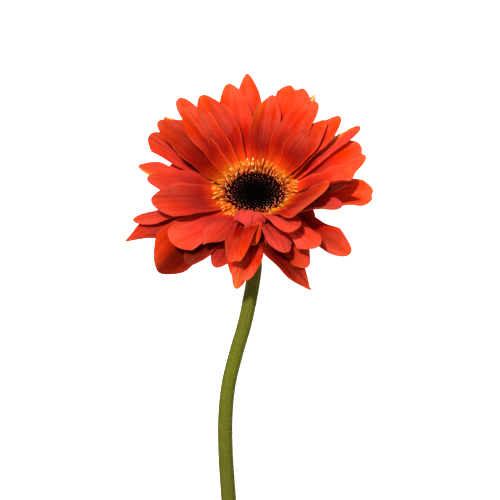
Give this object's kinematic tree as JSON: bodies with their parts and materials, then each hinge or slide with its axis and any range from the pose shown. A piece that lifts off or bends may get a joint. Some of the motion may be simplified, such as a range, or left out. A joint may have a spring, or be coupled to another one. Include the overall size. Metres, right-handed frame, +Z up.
{
  "type": "cut gerbera flower",
  "caption": "Cut gerbera lying down: a wide flame-red daisy head with a dark disc on a green leafless stem that bends at the neck.",
  "frame": {"origin": "on the surface the flower lies on, at the middle of its outline seen from above", "axes": "+Z up from the surface; +Y along the lying stem from the cut end towards the head; +X to the right seen from above with the head at the top"},
  "size_m": [0.1036, 0.2986, 0.061],
  "materials": {
    "ray_florets": "soft velvety petal, flame red to orange",
    "trans_florets": "matte, red-brown with yellow and orange mouths",
    "disc_florets": "matte, near black with small pink-orange tips",
    "involucre": "matte green, finely hairy",
    "stem": "satin yellow-green, browner at the neck, finely hairy"
  },
  "bodies": {
    "root": {"ray_florets": "ray_florets", "trans_florets": "trans_florets", "disc_florets": "disc_florets", "involucre": "involucre", "stem": "stem"}
  },
  "joints": []
}
